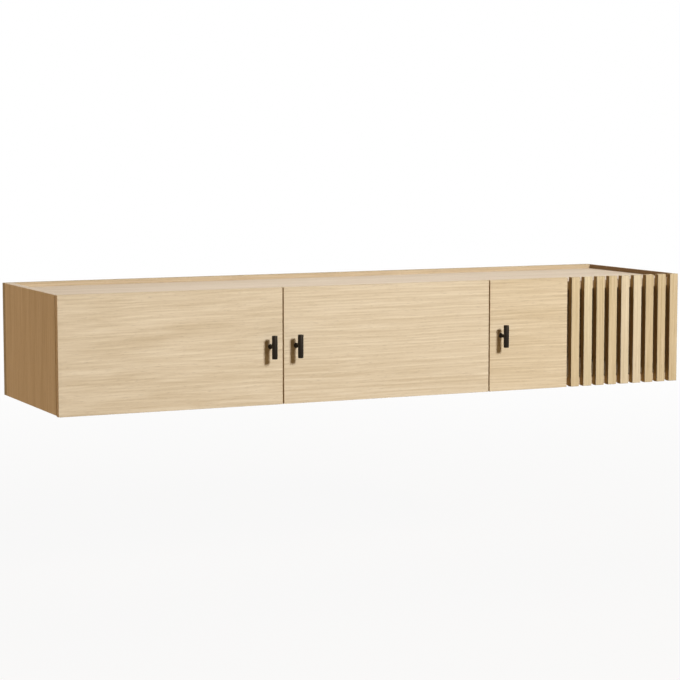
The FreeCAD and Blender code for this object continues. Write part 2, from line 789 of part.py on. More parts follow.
def hinge_screws(name, door):
    """Two screws for each mounting plate."""
    body = new_body("plate_screws")
    turn_round(body, "XY_Plane", screw_outline(), "H_Axis")
    repeat(body, "Z_Axis", "hinge_spread", 2, "Z_Axis", "wing_screw_spacing")
    turned = door["toward"] == "-1"
    first = "%s * (-hinge_spread / 2 - wing_screw_spacing / 2)" % door["toward"]
    place(body, across(door, "%s + wing_height" % door["overlay"]), "wing_centre - depth", first,
          TURNED_OVER if turned else UPRIGHT)
    node(body, name + "_plate_screws")


def cup_screws(name, door):
    """Two screws for each hinge cup."""
    body = new_body("cup_screws")
    turn_round(body, "XY_Plane", [(y, x) for x, y in screw_outline()], "V_Axis")
    repeat(body, "Z_Axis", "hinge_spread", 2, "Z_Axis", "cup_screw_spacing")
    place(body, across(door, "cup_centre + cup_screw_shift"), "door_thickness + flange_thickness - depth",
          "-hinge_spread / 2 - cup_screw_spacing / 2")
    node(body, name + "_cup_screws")


cabinet()
back_panel()
cable_grommets()
group("panel_dowels", panel_dowels())
group("cam_bolts", cam_bolts())
group("cam_locks", cam_locks())
grille()
for door_name, door in DOORS.items():
    for make in (door_panel, handle, door_bumpers, hinge_cups, hinge_pins, cup_screws,
                 hinge_arms, hinge_plates, hinge_screws):
        make(door_name, door)
doc.recompute()

# Every object has to be sound before any file is written
for thing in doc.Objects:
    if "Invalid" in thing.State or "Error" in thing.State:
        raise ValueError("%s failed: %s" % (thing.Label, thing.State))
for piece in nodes:
    if piece.Shape.isNull() or not piece.Shape.isValid():
        raise ValueError("%s has no sound shape" % piece.Label)

os.makedirs("parts", exist_ok=True)
for piece in nodes:
    piece.Shape.exportStep("parts/%s.step" % piece.Label)
    print(piece.Label, len(piece.Shape.Solids), round(piece.Shape.Volume))
print(len(nodes), "nodes")
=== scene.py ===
# %% [markdown]
# # A wall-hung media console in oak
# The cabinet is already built to size, board by board and screw by screw. This lesson
# gives it its looks: eased edges, oak veneer, black handles and bright hinges.
# Every object is in metres, and the frame of the built model is the frame of this scene:
# +X runs to the right along the wall, -Y comes out to the front and +Z is up.

# %% Load the built cabinet
import bmesh
import bpy
from math import pi, radians
from mathutils import Matrix, Vector


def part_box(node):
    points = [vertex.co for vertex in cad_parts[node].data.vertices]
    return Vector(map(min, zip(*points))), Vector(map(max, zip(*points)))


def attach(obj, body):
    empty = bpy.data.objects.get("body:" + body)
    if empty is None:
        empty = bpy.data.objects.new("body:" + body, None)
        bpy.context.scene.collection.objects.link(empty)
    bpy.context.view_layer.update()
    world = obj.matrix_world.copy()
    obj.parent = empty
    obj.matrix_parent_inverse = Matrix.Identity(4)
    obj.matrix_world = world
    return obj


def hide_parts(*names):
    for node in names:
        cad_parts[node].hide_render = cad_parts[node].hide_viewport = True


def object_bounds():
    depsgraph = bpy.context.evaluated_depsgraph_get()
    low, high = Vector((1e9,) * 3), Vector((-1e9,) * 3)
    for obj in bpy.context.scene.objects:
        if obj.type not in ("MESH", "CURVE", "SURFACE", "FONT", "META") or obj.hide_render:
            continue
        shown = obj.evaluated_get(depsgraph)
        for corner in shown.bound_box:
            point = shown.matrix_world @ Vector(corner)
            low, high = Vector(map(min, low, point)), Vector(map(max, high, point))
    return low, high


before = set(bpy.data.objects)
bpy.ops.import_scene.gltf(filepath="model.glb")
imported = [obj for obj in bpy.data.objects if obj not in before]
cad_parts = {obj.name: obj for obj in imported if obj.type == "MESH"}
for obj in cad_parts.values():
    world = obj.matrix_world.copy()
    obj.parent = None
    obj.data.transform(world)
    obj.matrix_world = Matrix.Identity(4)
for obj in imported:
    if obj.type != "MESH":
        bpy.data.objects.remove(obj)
built_low, built_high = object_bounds()
MM = 0.001  # one millimetre in metres
print("built box", [round(side / MM) for side in built_high - built_low], "mm")

# %% [markdown]
# ## Camera
# The picture was taken from the left of the console and a little above it, with a long
# lens, so that the far edges stay nearly parallel. A camera can be placed by eye, but then
# every edge is a little off. Here its place and angles come from fitting the cabinet's own
# edges to the picture.

# %% Camera
camera_data = bpy.data.cameras.new("camera")
camera_data.lens = 111.81
camera_data.sensor_width = 36
camera = bpy.data.objects.new("camera", camera_data)
camera.location = (-2.0287, -4.5171, 0.4613)
camera.rotation_euler = (radians(84.285), radians(0.054), radians(-24.911))
bpy.context.scene.collection.objects.link(camera)
bpy.context.scene.camera = camera
bpy.context.scene.view_settings.view_transform = "Standard"
print("camera stands", round(-camera.location.y, 1), "m in front of the wall")

# %% [markdown]
# ## Colours and nodes
# Colours are written as they look on a screen, and the first function turns them to the
# linear values that light works with. The second adds any shader node: its settings by
# name, and for each input either a value or the output of another node. The third starts
# an empty material, because every finish below begins in the same way.


# %% Three small helpers
def linear(hex_colour):
    """An sRGB colour such as C8B08A as linear red, green, blue and alpha."""
    shares = [int(hex_colour[place:place + 2], 16) / 255 for place in (0, 2, 4)]
    return [s / 12.92 if s <= 0.04045 else ((s + 0.055) / 1.055) ** 2.4 for s in shares] + [1]


def add(tree, kind, inputs=None, **settings):
    """Add a shader node, set it up, and fill its inputs with values or links."""
    node = tree.nodes.new("ShaderNode" + kind)
    for name, setting in settings.items():
        setattr(node, name, setting)
    for name, given in (inputs or {}).items():
        if isinstance(given, bpy.types.NodeSocket):
            tree.links.new(given, node.inputs[name])
        else:
            node.inputs[name].default_value = given
    return node


def new_material(name):
    """An empty material with its output node."""
    material = bpy.data.materials.new(name)
    material.use_nodes = True
    material.node_tree.nodes.clear()
    return material, material.node_tree, add(material.node_tree, "OutputMaterial")


print("white is", linear("FFFFFF"), "and mid grey is", round(linear("808080")[0], 3))

# %% [markdown]
# ## Studio
# The console hangs in front of white. The camera, and anything glossy, sees a plain white
# surrounding, while the light that falls on the wood comes from lamps and from a dim sky.
# One bright white sky would be simpler, but it would bleach the wood and fill every shadow.
# The dim sky is warm, because in a room most of the light in the shadows has already
# bounced off wood.

# %% White surrounding with a dim, warm light
SKY_STRENGTH = 0.10


def seen_rays(tree):
    """A socket that is 1 for rays that show the surrounding: camera, glossy and transmission."""
    rays = add(tree, "LightPath").outputs
    shown = add(tree, "Math", {0: rays["Is Camera Ray"], 1: rays["Is Glossy Ray"]}, operation="MAXIMUM")
    through = add(tree, "Math", {0: shown.outputs[0], 1: rays["Is Transmission Ray"]}, operation="MAXIMUM")
    return through.outputs[0]


world = bpy.data.worlds.new("studio")
bpy.context.scene.world = world
world.use_nodes = True
sky = world.node_tree
sky.nodes.clear()
even = add(sky, "Background", {"Color": linear("FFCE8E"), "Strength": SKY_STRENGTH})
white = add(sky, "Background", {"Color": linear("FFFFFF"), "Strength": 1})
backdrop = add(sky, "MixShader", {0: seen_rays(sky), 1: even.outputs[0], 2: white.outputs[0]})
add(sky, "OutputWorld", {"Surface": backdrop.outputs[0]})
print("sky gives", SKY_STRENGTH, "of white")

# %% [markdown]
# A floor below catches the console's shadow. A plain white floor would turn grey away from
# the lamps, so most of what the camera sees of this one is white that needs no light. Near
# the console a small share of it is real shading, and further away it fades to white.

# %% Floor
FLOOR_DROP = 0.45  # metres; a console of this kind hangs about knee high
FLOOR_REACH = 40  # metres
WHITE_SHARE = 0.93
FADE_FROM, FADE_TO = 1.2, 5.0  # metres from the middle of the console
floor_mesh = bpy.data.meshes.new("floor")
shape = bmesh.new()
bmesh.ops.create_grid(shape, x_segments=1, y_segments=1, size=FLOOR_REACH)
bmesh.ops.translate(shape, verts=shape.verts, vec=(0, 0, built_low.z - FLOOR_DROP))
shape.to_mesh(floor_mesh)
shape.free()
floor = bpy.data.objects.new("floor", floor_mesh)
bpy.context.scene.collection.objects.link(floor)

# Paper is matt and shows no glint. This one looks white and sends a warm light back up to the wood
paper, tree, out = new_material("white_paper_sweep")
away = add(tree, "VectorMath", {0: add(tree, "TexCoord").outputs["Object"]}, operation="LENGTH")
fade = add(tree, "MapRange", {
    "Value": away.outputs["Value"], "From Min": FADE_FROM, "From Max": FADE_TO,
    "To Min": WHITE_SHARE, "To Max": 1,
})
share = add(tree, "Math", {0: seen_rays(tree), 1: fade.outputs[0]}, operation="MULTIPLY")
matt = add(tree, "BsdfDiffuse", {"Color": linear("A28C69")})
glow = add(tree, "Emission", {"Color": linear("FFFFFF"), "Strength": 1})
sweep = add(tree, "MixShader", {0: share.outputs[0], 1: matt.outputs[0], 2: glow.outputs[0]})
tree.links.new(sweep.outputs[0], out.inputs["Surface"])
floor_mesh.materials.append(paper)
print("floor lies", FLOOR_DROP, "m below the console")

# %% [markdown]
# Four softboxes light the console. The key stands in front, to the right and high, because
# the handles throw their shadows to the left and down. The others are weak: one over the
# tray, a warm one at the left side, and one behind that lifts the back. Small lamps would
# draw hard shadows, so each lamp is a square of a metre or more.


# %% Lamps
def lamp(name, toward, distance, size, power, colour):
    """A square softbox that stands in a direction from the console and faces it."""
    data = bpy.data.lights.new(name, "AREA")
    data.size = size
    data.energy = power
    data.color = linear(colour)[:3]
    box = bpy.data.objects.new(name, data)
    middle = (built_low + built_high) / 2
    box.location = middle + Vector(toward).normalized() * distance
    box.rotation_euler = (box.location - middle).to_track_quat("Z", "Y").to_euler()
    box.visible_camera = False
    bpy.context.scene.collection.objects.link(box)
    print(name, "stands", distance, "m away and gives", power, "W")


lamp("key_softbox", (0.24, -0.90, 0.46), 6.0, 1.0, 300, "FFFFFF")
lamp("top_softbox", (0.05, 0.25, 1.00), 3.0, 2.0, 30, "F6FAFF")
lamp("side_softbox", (-0.95, 0.22, 0.20), 4.0, 2.0, 30, "FFD6A4")
lamp("rear_softbox", (0.45, 0.90, 0.12), 5.0, 2.5, 40, "FFF4E6")

# %% [markdown]
# ## Oak
# The boards are faced with oak veneer. A tree grows in rings, so a knife that slices it
# lays bare a figure: even lines where it cuts across the rings, and long flames where it
# only grazes them. Plain noise can give lines but no flames, so the rings are drawn as they
# lie in the tree, as waves of the distance from its heart, which runs some way behind the
# board. Stretched noise adds what no ring shows: slow bands of colour, finer lines, and
# streaks along the grain. A slow noise bends everything a little, because no tree grows
# quite straight.

# %% Figure of the wood
RING_PITCH = 6.0  # mm of growth in a year
RING_SHADE = 0.10
RING_WANDER = 2.5  # years
OAK_LAYERS = {  # mm along the grain and across it, octaves, and how much the layer shades the wood
    "bands": (700, 38, 2, 0.70),
    "lines": (600, 5.0, 3, 1.6),
    "streaks": (90, 2.7, 2, 1.0),
}
BEND = (260, 110, 1)  # mm along the grain and across it, and octaves
BEND_REACH = 7  # mm
GRAIN_TURNS = {"X": (0, 0, 0), "Y": (0, 0, radians(-90)), "Z": (0, radians(90), 0)}  # bring the grain to X
MIDDLE = 0.5  # the level that a noise swings about


def grain_layer(tree, vector, along, across, octaves):
    """A noise that is long with the grain and narrow across it, as a shader node."""
    size = (1 / (along * MM), 1 / (across * MM), 1 / (across * MM))
    scaled = add(tree, "VectorMath", {0: vector, 1: size}, operation="MULTIPLY").outputs[0]
    return add(tree, "TexNoise", {"Vector": scaled, "Scale": 1, "Detail": octaves, "Roughness": 0.6})


def grown(tree, grain, heart, lean):
    """Places in the wood as the tree grew: measured from its heart, turned and a little bent."""
    spot = add(tree, "TexCoord").outputs["Object"]
    from_heart = add(tree, "VectorMath", {0: spot, 1: heart}, operation="SUBTRACT")
    turn = [angle + radians(extra) for angle, extra in zip(GRAIN_TURNS[grain], (0, lean / 2, lean))]
    trunk = add(tree, "Mapping", {"Vector": from_heart.outputs[0], "Rotation": turn}).outputs[0]
    sway = grain_layer(tree, trunk, *BEND).outputs["Color"]
    centred = add(tree, "VectorMath", {0: sway, 1: (MIDDLE, MIDDLE, MIDDLE)}, operation="SUBTRACT")
    reach = (0, BEND_REACH * MM, BEND_REACH * MM)
    bend = add(tree, "VectorMath", {0: centred.outputs[0], 1: reach}, operation="MULTIPLY")
    return add(tree, "VectorMath", {0: trunk, 1: bend.outputs[0]}, operation="ADD").outputs[0]


def figure(tree, grown_place, layers):
    """How dark the wood is, from its growth rings and from the layers over them."""
    across = add(tree, "VectorMath", {0: grown_place, 1: (0, 1, 1)}, operation="MULTIPLY")
    radius = add(tree, "VectorMath", {0: across.outputs[0]}, operation="LENGTH").outputs["Value"]
    years = add(tree, "Math", {0: radius, 1: 2 * pi / (RING_PITCH * MM)}, operation="MULTIPLY").outputs[0]
    wander = add(tree, "Math", {0: layers["bands"], 1: 2 * pi * RING_WANDER, 2: years},
                 operation="MULTIPLY_ADD")
    ring = add(tree, "Math", {0: wander.outputs[0]}, operation="SINE").outputs[0]
    tone = add(tree, "Math", {0: ring, 1: RING_SHADE, 2: MIDDLE}, operation="MULTIPLY_ADD").outputs[0]
    for part, size in OAK_LAYERS.items():
        level = add(tree, "Math", {0: layers[part], 1: MIDDLE}, operation="SUBTRACT").outputs[0]
        tone = add(tree, "Math", {0: level, 1: size[3], 2: tone}, operation="MULTIPLY_ADD").outputs[0]
    return tone


print("oak rings are", RING_PITCH, "mm apart, with", len(OAK_LAYERS), "layers of figure over them")

# %% [markdown]
# Seen close, oak has dark pores, which are the tree's water pipes cut open, and pale flecks
# where its rays cross the grain. They are too many to model, so each is a short noise of
# which only the peaks show. The wood is under a matt lacquer, which dips a little into the
# pores.

# %% Oak under matt lacquer
PORES = (18, 1.2, 2)  # mm and octaves; real pores are a quarter as wide, drawn coarser so that they show
PORE_PEAKS, PORE_SHARE = (0.58, 0.72), 0.22  # the noise levels where they begin and are full, how strong
FLECKS = (9, 4.5, 1)
FLECK_PEAKS, FLECK_SHARE = (0.62, 0.75), 0.12


def dotted(tree, wood, noise, peaks, share, colour):
    """The wood's colour with another colour over it where a noise peaks."""
    cover = add(tree, "MapRange", {
        "Value": noise, "From Min": peaks[0], "From Max": peaks[1], "To Min": 0, "To Max": share,
    })
    return add(tree, "Mix", {0: cover.outputs[0], 6: wood, 7: linear(colour)}, data_type="RGBA").outputs[2]


def oak(name, grain, heart, lean, light, dark):
    """Matt lacquered oak: which way its grain runs, where the tree's heart is, and how it leans."""
    material, tree, out = new_material(name)
    place = grown(tree, grain, heart, lean)
    layers = {part: grain_layer(tree, place, *size[:3]).outputs["Fac"] for part, size in OAK_LAYERS.items()}
    tone = figure(tree, place, layers)
    wood = add(tree, "Mix", {0: tone, 6: linear(light), 7: linear(dark)}, data_type="RGBA").outputs[2]
    pores = grain_layer(tree, place, *PORES).outputs["Fac"]
    wood = dotted(tree, wood, pores, PORE_PEAKS, PORE_SHARE, "7A6042")
    flecks = grain_layer(tree, place, *FLECKS).outputs["Fac"]
    wood = dotted(tree, wood, flecks, FLECK_PEAKS, FLECK_SHARE, "F4E8D2")
    rough = add(tree, "MapRange", {"Value": layers["lines"], "To Min": 0.50, "To Max": 0.66})
    dents = add(tree, "Bump", {"Height": pores, "Strength": 0.08, "Distance": 0.2 * MM}, invert=True)
    # The lacquer scatters the little that it reflects, so the eye sees wood and hardly any shine
    lacquer = add(tree, "BsdfPrincipled", {
        "Base Color": wood, "Roughness": rough.outputs[0], "Normal": dents.outputs[0],
        "Specular IOR Level": 0.10,
    })
    tree.links.new(lacquer.outputs[0], out.inputs["Surface"])
    return material


print("pores are", PORES[0], "mm long and flecks", FLECKS[0], "mm")

# %% [markdown]
# ## Boards
# The boards are cut square, then their edges are eased with a sanding block, which catches
# a thin line of light. A bevel on every sharp edge would also round the rims of the bores.
# So a copy of the built board is welded into one skin, its flat faces are joined, and only
# the straight outer edges are bevelled. An edge that butts against another board stays
# sharp, because sanding it would open a groove.

# %% A board with eased edges
EASE = 0.6 * MM
WELD = 0.001 * MM
TOUCH = 10 * WELD  # what is closer than this counts as the same place
IN_PLANE = radians(0.5)  # faces that bend less than this are joined
MOSTLY = 0.6  # a face looks along an axis when its normal has more than this of it


def outer_edges(shape, low, high, butted):
    """The straight edges along the corners of the board's own box, but for the butted sides."""
    def sides(vert):
        return {"-+"[end] + "XYZ"[axis] for axis in range(3) for end, limit in enumerate((low, high))
                if abs(vert.co[axis] - limit[axis]) < TOUCH}
    shared = [(edge, sides(edge.verts[0]) & sides(edge.verts[1])) for edge in shape.edges]
    return [edge for edge, on in shared if len(on) >= 2 and not on & set(butted)]


def welded(node):
    """A copy of a built node as one clean skin."""
    shape = bmesh.new()
    shape.from_mesh(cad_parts[node].data)
    bmesh.ops.remove_doubles(shape, verts=shape.verts, dist=WELD)
    bmesh.ops.dissolve_limit(shape, angle_limit=IN_PLANE, verts=shape.verts, edges=shape.edges)
    return shape


def piece(name, shape, body, materials, smooth_below=None, node=None):
    """Turn a finished shape into an object that rides on a body; node is what it stands for."""
    mesh = bpy.data.meshes.new(name)
    shape.to_mesh(mesh)
    shape.free()
    for material in materials:
        mesh.materials.append(material)
    if smooth_below:
        mesh.polygons.foreach_set("use_smooth", [True] * len(mesh.polygons))
        mesh.set_sharp_from_angle(angle=radians(smooth_below))
    made = bpy.data.objects.new(name, mesh)
    bpy.context.scene.collection.objects.link(made)
    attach(made, body)
    if node:
        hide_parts(node)
    print(name, "has", len(mesh.polygons), "faces")
    return made


def board(node, name, body, thick, face, band, butted=()):
    """An eased copy of a built board; thick is the axis that its faces look along."""
    shape = welded(node)
    low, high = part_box(node)
    bmesh.ops.bevel(shape, geom=outer_edges(shape, low, high, butted), offset=EASE, offset_type="OFFSET",
                    affect="EDGES", segments=2, profile=0.5, material=-1)
    axis = "XYZ".index(thick)
    for side in shape.faces:
        side.material_index = 0 if abs(side.normal[axis]) > MOSTLY else 1
    return piece(name, shape, body, [face, band], node=node)


print("edges of boards are eased by", EASE / MM, "mm")

# %% [markdown]
# ## Veneer for each board
# A veneered board is dressed twice: its faces with veneer, and its narrow edges with edge
# band, a strip of oak that is a little darker. One oak for all boards would run on from
# board to board, so each has its own, named for the board. The heart of its tree lies a
# hand's breadth behind the face, and to one side of the middle: far to the side gives
# straight lines, close to the middle gives flames.

# %% Veneer and edge band
FACE = ("EDDDC0", "D2BE9B")  # the lighter and the darker wood of its figure
BAND = ("DECBAA", "C7B08B")
BAND_SHIFT = 1.1  # the band comes from another place in a tree


def dressed(node, thick, grain, behind, aside, lean, face=FACE, band=BAND):
    """The veneer and the edge band of one board, as materials."""
    low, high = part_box(node)
    heart = (low + high) / 2
    heart["XYZ".index(thick)] += behind * MM
    heart[3 - "XYZ".index(thick) - "XYZ".index(grain)] += aside * MM
    return (oak("oak_veneer_" + node, grain, heart, lean, *face),
            oak("oak_edge_band_" + node, grain, heart * BAND_SHIFT, lean, *band))


print("veneer lies between", *FACE, "and edge band between", *BAND)

# %% [markdown]
# ## Cabinet
# The cabinet is a box of boards around two partitions. Its top panel lies a little below the
# rim, like a tray, and the boards around it hide the panel's edges, so those stay sharp. The
# back panel covers the sides from behind. All boards are made alike, so a table says how
# each was cut from its tree.

# %% Cabinet boards
BACK_FACE = ("D8C6A8", "BFA989")
BACK_BAND = ("B8A782", "A28E68")
# Painted sheen: the top panel and the top edge of the left side are paler and greyer, for the white
# surroundings their lacquer reflects at a low angle
PAINTED_SHEEN_OAK = ("EADBC6", "CFBCA1")
CABINET_BOARDS = {  # built node: thin axis, grain, heart behind and aside in mm, lean in degrees
    "left_side_panel": ("X", "Z", 80, 330, 0.6),
    "right_side_panel": ("X", "Z", -80, 260, -0.5),
    "top_panel": ("Z", "X", -100, -290, 0.5),
    "bottom_panel": ("Z", "X", 110, 240, -0.4),
    "back_panel": ("Y", "X", 90, -260, 0.4),
    "left_partition": ("X", "Z", 90, -310, 0.7),
    "right_partition": ("X", "Z", -90, 280, 0.4),
    "hinge_stile": ("X", "Z", 80, 210, -0.6),
    "grille_top_rail": ("Y", "X", 70, 120, 0.3),
    "grille_bottom_rail": ("Y", "X", 70, -140, 0.3),
}
BUTTED = {"top_panel": ("-X", "+X", "+Y")}
LOOKS = {  # face and band where they differ from the rest
    "back_panel": (BACK_FACE, BACK_BAND),
    "top_panel": (PAINTED_SHEEN_OAK, BAND),
    "left_side_panel": (FACE, PAINTED_SHEEN_OAK),
}
for node, cut in CABINET_BOARDS.items():
    face, band = dressed(node, *cut, *LOOKS.get(node, ()))
    board(node, node + "_board", "cabinet", cut[0], face, band, BUTTED.get(node, ()))

# %% [markdown]
# The right-hand board is cut down to the level of the tray and leaves only a thin rim
# outside. The veneer of the tray runs on over that step, so the step gets the same wood. The
# inside of the rim looks away from the key light, and its shade is painted in as a darker
# oak. Two more materials on the board are enough, because the shape is already there.

# %% Veneer over the step beside the tray
TRAY_VENEER, RIM_SHADE = 2, 3  # after the board's own face and band
LEVEL = 0.9  # a face is level when its normal has more than this of Z
step = bpy.data.objects["right_side_panel_board"].data
rim_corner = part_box("right_side_panel")[1]
# The tray's oak has its sheen painted in, so the step beside it gets the painted sheen too
step.materials.append(bpy.data.materials["oak_veneer_top_panel"])
# The darker oak of the rim's inside is painted shade
step.materials.append(oak("oak_painted_shade_right_rim", "Y", rim_corner, 0.3, "967D5F", "856B4B"))
tray_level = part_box("top_panel")[1].z
covered = [face for face in step.polygons if face.normal.z > LEVEL and abs(face.center.z - tray_level) < EASE]
for face in covered:
    face.material_index = TRAY_VENEER
# Painted shade: the faces inside the rim, above the tray, get the darker oak
shaded_inside = [face for face in step.polygons if face.normal.x < -MOSTLY and face.center.z > tray_level]
for face in shaded_inside:
    face.material_index = RIM_SHADE
print(len(covered), "face beside the tray has the tray's veneer, and", len(shaded_inside), "have painted shade")

# %% [markdown]
# ## Doors
# The doors are flat leaves whose grain runs across the console. Their bores for hinge
# cups and handle screws come with the built copy, so nothing has to be cut here. The left
# leaf was cut close to the heart of its tree and shows a quiet flame; the others show
# straight lines.

# %% Doors
DOORS = {  # heart behind and aside in mm, lean in degrees
    "left": (120, 18, 1.4),
    "middle": (90, -210, 0.5),
    "right": (100, 170, -0.5),
}
PALE_FACE = ("F0E2C8", "D6C4A5")
# The right door keeps the darker FACE veneer: painted shade, for the light falling off at the console's right
# end
for side, cut in DOORS.items():
    node = side + "_door_panel"
    face, band = dressed(node, "Y", "X", *cut, FACE if side == "right" else PALE_FACE)
    board(node, side + "_door_leaf", side + "_door", "Y", face, band)

# %% [markdown]
# ## Slats
# The grille is made of solid oak sticks. They come from different boards, so some are paler
# and some are yellower than their neighbours. A stick is a small board, so it is eased in
# the same way. Its front, back and ends are planed. Its sides are a darker oak, which is
# painted shade: it stands for the shade that falls between the sticks.

# %% Slats
SLAT, PALE_SLAT = ("E5D3AF", "CAB58C"), ("EDDFBE", "D2C099")
CREAM_SLAT, YELLOW_SLAT = ("EFE1C4", "D4C29F"), ("DFCCA8", "C4AE84")
# Painted shade: the sides of the sticks are darker, for the shade in the gaps between them
SIDE_SHADE_OAK = ("C5A778", "AE9064")
SLAT_WOOD = [SLAT, PALE_SLAT, SLAT, SLAT, CREAM_SLAT, CREAM_SLAT, YELLOW_SLAT, YELLOW_SLAT, YELLOW_SLAT]
HEART = Vector((40, 60, 0))  # mm from a slat's middle
HEART_STEP = Vector((17, 0, 300))  # mm more for each slat
LEAN, LEAN_STEP = 0.8, -0.3  # degrees
for number, look in enumerate(SLAT_WOOD, start=1):
    node = f"slat_{number}"
    low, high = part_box(node)
    heart = (low + high) / 2 + (HEART + HEART_STEP * number) * MM
    lean = LEAN + LEAN_STEP * number
    planed = oak("planed_oak_" + node, "Z", heart, lean, *look)
    # painted shade on the sides of the stick
    side_shade = oak("painted_shade_oak_" + node, "Z", heart, lean, *SIDE_SHADE_OAK)
    stick = board(node, node + "_stick", "cabinet", "Y", planed, side_shade)
    for face in stick.data.polygons:
        if abs(face.normal.z) > MOSTLY:
            face.material_index = 0

# %% [markdown]
# ## Handles
# Each handle is a round bar on a post, in steel with a black powder coat. Powder melts into
# a skin that is even but not quite smooth, which gives a soft, broken highlight. A fine
# noise is enough for that: it ripples the skin and shifts its gloss.

# %% Black powder coat
GRIT = 0.7  # mm; real powder flows out to about half of this, drawn coarser so that it shows
coat, tree, out = new_material("black_powder_coat")
spot = add(tree, "TexCoord").outputs["Object"]
peel = add(tree, "TexNoise", {"Vector": spot, "Scale": 1 / (GRIT * MM), "Detail": 2}).outputs["Fac"]
shade = add(tree, "Mix", {0: peel, 6: linear("090705"), 7: linear("100C09")}, data_type="RGBA")
skin = add(tree, "MapRange", {"Value": peel, "To Min": 0.42, "To Max": 0.55})
ripple = add(tree, "Bump", {"Height": peel, "Strength": 0.15, "Distance": 0.05 * MM})
# The warm tint of the gloss is a painted reflection, for the warm wood around the handle
paint = add(tree, "BsdfPrincipled", {
    "Base Color": shade.outputs[2], "Roughness": skin.outputs[0], "Normal": ripple.outputs[0],
    "Specular IOR Level": 0.30, "Specular Tint": linear("F2DCC0"),
})
tree.links.new(paint.outputs[0], out.inputs["Surface"])
print("powder grit", GRIT, "mm")

# %% [markdown]
# A bar and a post are lathe work. A cylinder with a bevel would do for the bar but not for
# the post, so each is an outline of a few points that is spun about its axis. The bar's ends
# are rounded a little, and the post widens into a foot where it presses on the door.

# %% A turned shape
ROUND = 48  # steps in a full turn


def turned(outline, centre, axis_turn):
    """A solid turned on a lathe: an outline of (radius, height) points spun about its axis."""
    shape = bmesh.new()
    verts = [shape.verts.new((radius, 0, height)) for radius, height in outline]
    edges = [shape.edges.new(pair) for pair in zip(verts, verts[1:])]
    bmesh.ops.spin(shape, geom=verts + edges, cent=(0, 0, 0), axis=(0, 0, 1), angle=2 * pi,
                   steps=ROUND, use_merge=True)
    bmesh.ops.remove_doubles(shape, verts=shape.verts, dist=WELD)
    bmesh.ops.recalc_face_normals(shape, faces=shape.faces)
    bmesh.ops.rotate(shape, verts=shape.verts, cent=(0, 0, 0), matrix=axis_turn)
    bmesh.ops.translate(shape, verts=shape.verts, vec=centre)
    return shape


print("a turned shape has", ROUND, "sides")

# %% Handle bars and posts
STANDING = Matrix.Identity(3)  # leaves a lathe's axis upright
TO_FRONT = Matrix.Rotation(radians(90), 3, "X")  # turns a lathe's axis to the front
BAR_ROUND = 1.0 * MM
CORNER = 0.3 * BAR_ROUND  # from the bar's sharp corner to the middle of its rounding, each way
FOOT_WIDTH, NECK_WIDTH = 11, 8  # of the post, in mm
FOOT_RIM, FOOT_SLOPE, FOOT_TOP = 0.8 * MM, 1.6 * MM, 2.6 * MM  # heights above the door
SLOPE_SHARE = 0.86  # of the foot's radius, half way up its slope
HANDLE_SMOOTH = 50  # degrees
for side in DOORS:
    low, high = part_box(side + "_handle_bar")
    radius, half = (high.x - low.x) / 2, (high.z - low.z) / 2
    bar = turned([
        (0, -half), (radius - BAR_ROUND, -half), (radius - CORNER, -half + CORNER),
        (radius, -half + BAR_ROUND), (radius, half - BAR_ROUND),
        (radius - CORNER, half - CORNER), (radius - BAR_ROUND, half), (0, half),
    ], (low + high) / 2, STANDING)
    piece(side + "_pull_bar", bar, side + "_door", [coat], HANDLE_SMOOTH,
          side + "_handle_bar")
    print(side, "handle is", round(2 * half / MM), "mm tall")

    low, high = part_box(side + "_handle_post")
    foot, length = (high.x - low.x) / 2, high.y - low.y
    neck = foot * NECK_WIDTH / FOOT_WIDTH
    post = turned([
        (0, 0), (foot, 0), (foot, FOOT_RIM), (foot * SLOPE_SHARE, FOOT_SLOPE), (neck, FOOT_TOP),
        (neck, length), (0, length),
    ], ((low.x + high.x) / 2, high.y, (low.z + high.z) / 2), TO_FRONT)
    piece(side + "_pull_post", post, side + "_door", [coat], HANDLE_SMOOTH,
          side + "_handle_post")

# %% [markdown]
# ## Metal, plastic and rubber of the fittings
# Hinges are nickel plated, screws and cams are zinc plated: both are metals, so their
# colour is the colour of their reflection. The grommets are black moulded plastic, the
# bumpers are milky silicone, and the dowels are raw beech. On parts this small one fine
# noise says enough, so one function makes all of these finishes.


# %% Finishes of the fittings
def finish(name, light, dark, grain_mm, low_rough, high_rough, bump, **skin):
    """A small part's finish: a fine noise, as long each way as its grain, shifts colour and gloss."""
    material, tree, out = new_material(name)
    spot = add(tree, "TexCoord").outputs["Object"]
    size = [1 / (length * MM) for length in grain_mm]
    scaled = add(tree, "VectorMath", {0: spot, 1: size}, operation="MULTIPLY").outputs[0]
    grit = add(tree, "TexNoise", {"Vector": scaled, "Scale": 1, "Detail": 3}).outputs["Fac"]
    shade = add(tree, "Mix", {0: grit, 6: linear(light), 7: linear(dark)}, data_type="RGBA")
    gloss = add(tree, "MapRange", {"Value": grit, "To Min": low_rough, "To Max": high_rough})
    dents = add(tree, "Bump", {"Height": grit, "Strength": bump, "Distance": 0.05 * MM})
    surface = add(tree, "BsdfPrincipled", {
        "Base Color": shade.outputs[2], "Roughness": gloss.outputs[0], "Normal": dents.outputs[0], **skin,
    })
    tree.links.new(surface.outputs[0], out.inputs["Surface"])
    return material


# Nickel plate is warm and satin; zinc plate is bluer and a little cloudy
nickel = finish("nickel_plated_steel", "CFCBC2", "C4BFB5", (3, 3, 3), 0.24, 0.30, 0.02, Metallic=1)
zinc = finish("zinc_plated_steel", "C9CCD0", "B6BAC0", (2, 2, 2), 0.28, 0.40, 0.04, Metallic=1)
